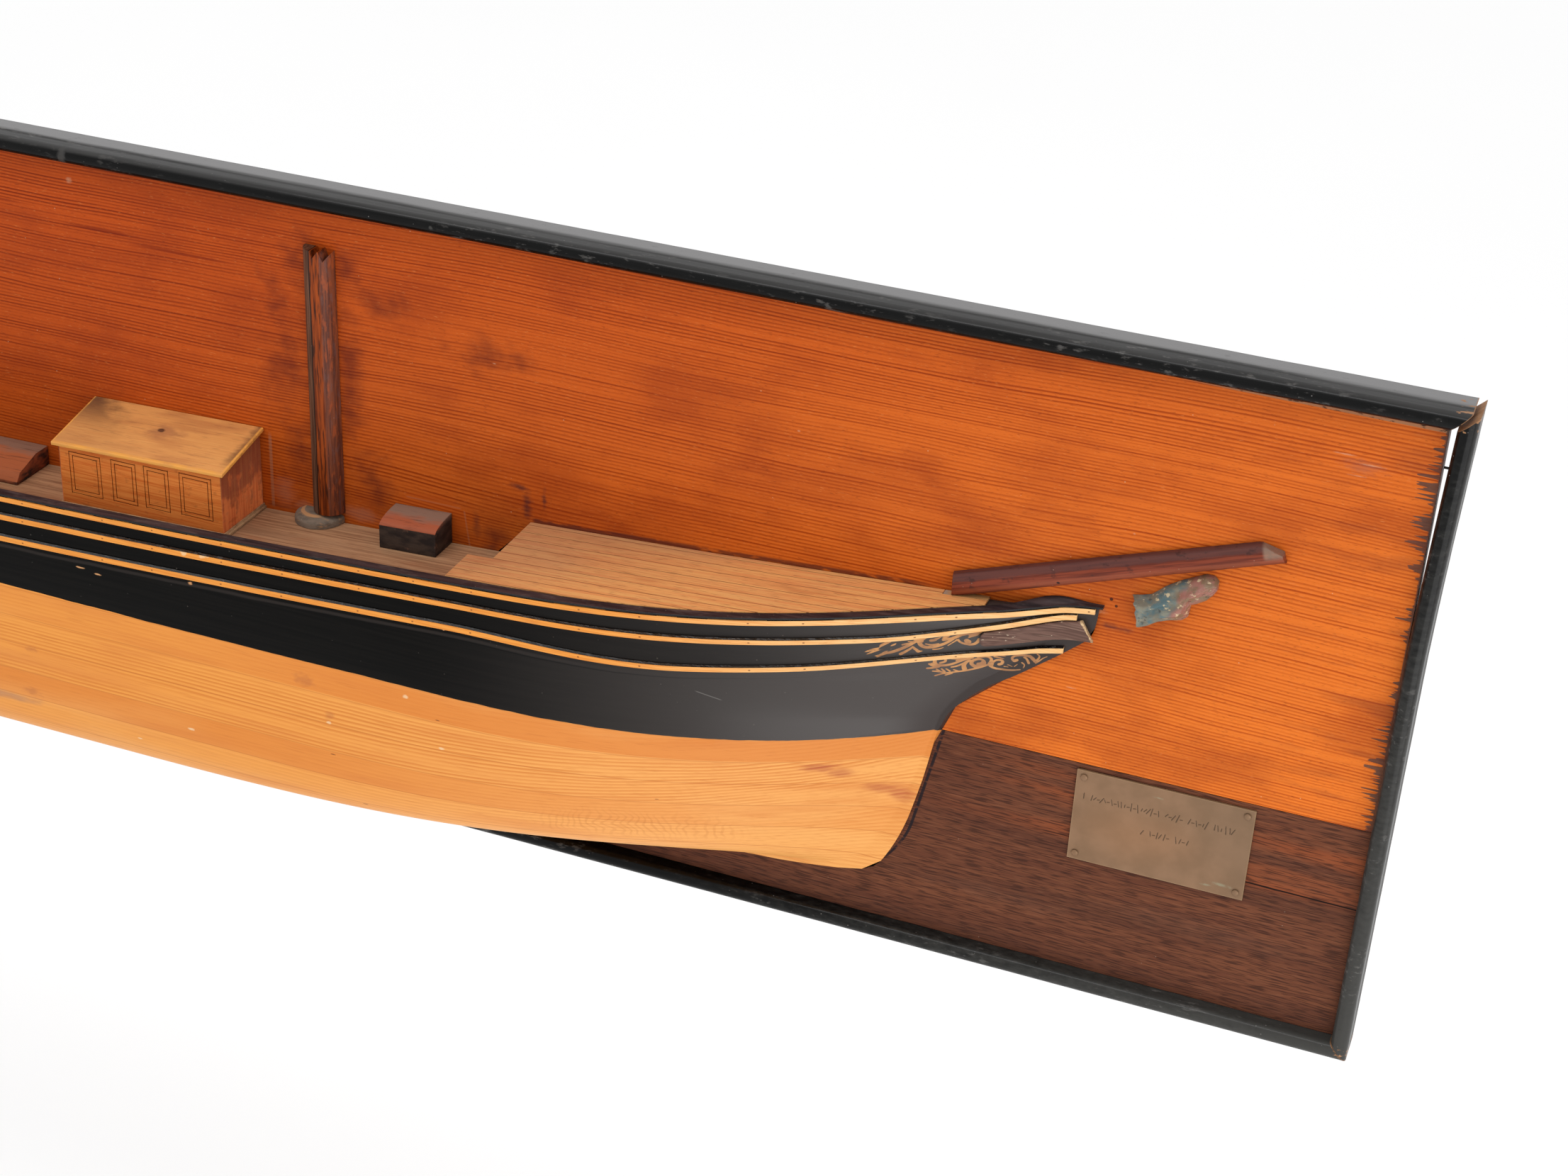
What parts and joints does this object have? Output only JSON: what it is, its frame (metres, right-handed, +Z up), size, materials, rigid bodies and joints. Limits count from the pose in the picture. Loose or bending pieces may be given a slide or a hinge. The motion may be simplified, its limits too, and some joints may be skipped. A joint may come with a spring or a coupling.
{
  "type": "ship half hull model on wall board",
  "caption": "Painted and varnished wooden half hull of a sailing ship with deck fittings and mast stubs, on a long framed two-tone backboard that is fixed flat to a wall.",
  "frame": {"origin": "middle of the board's flat back, which lies against the wall", "axes": "+X along the hull towards the bow, +Y into the wall, +Z up; the hull stands off towards -Y"},
  "size_m": [1.761, 0.0885, 0.3376],
  "materials": {
    "pine_board": "orange-red varnished pine with level grain",
    "dark_board": "dark brown stained wood, satin",
    "black_moulding": "worn black paint, glossy on the nose",
    "steel": "dull nail",
    "hull_wood": "honey-coloured varnished pine lifts, painted black above the waterline",
    "black_rail": "worn black paint",
    "batten": "yellow face with a black upper ledge",
    "deck": "dusty brown",
    "pale_wood": "bare",
    "fruitwood": "orange-brown varnish with dark stains",
    "spar": "dark red-brown stain",
    "grey_paint": "worn grey paint",
    "black_paint": "worn black paint",
    "purple_paint": "dull purple-brown paint, chipped",
    "drapery": "blue-green paint with cream and gold chips",
    "brass": "aged, with greenish marks"
  },
  "bodies": {
    "root": {"upper_board": "pine_board", "lower_board": "dark_board", "top_moulding": "black_moulding", "bottom_moulding": "black_moulding", "bow_end_moulding": "black_moulding", "stern_end_moulding": "black_moulding", "frame_nail": "steel", "hull": "hull_wood", "cap_rail": "black_rail", "upper_batten": "batten", "middle_batten": "batten", "lower_batten": "batten", "trail_board": "purple_paint", "main_deck": "deck", "forecastle_deck": "deck", "deck_insert": "pale_wood", "poop_deck": "deck", "rudder": "hull_wood", "deckhouse": "fruitwood", "deckhouse_roof": "fruitwood", "deckhouse_base": "grey_paint", "skylight": "spar", "companion_hatch": "black_paint", "main_hatch": "spar", "foremast": "spar", "foremast_coat": "grey_paint", "main_mast": "spar", "main_mast_coat": "grey_paint", "mizzen_mast": "spar", "mizzen_mast_coat": "grey_paint", "bowsprit": "spar", "figurehead": "drapery", "name_plate": "brass", "plate_pin_1": "brass", "plate_pin_2": "brass", "plate_pin_3": "brass", "plate_pin_4": "brass"}
  },
  "joints": []
}
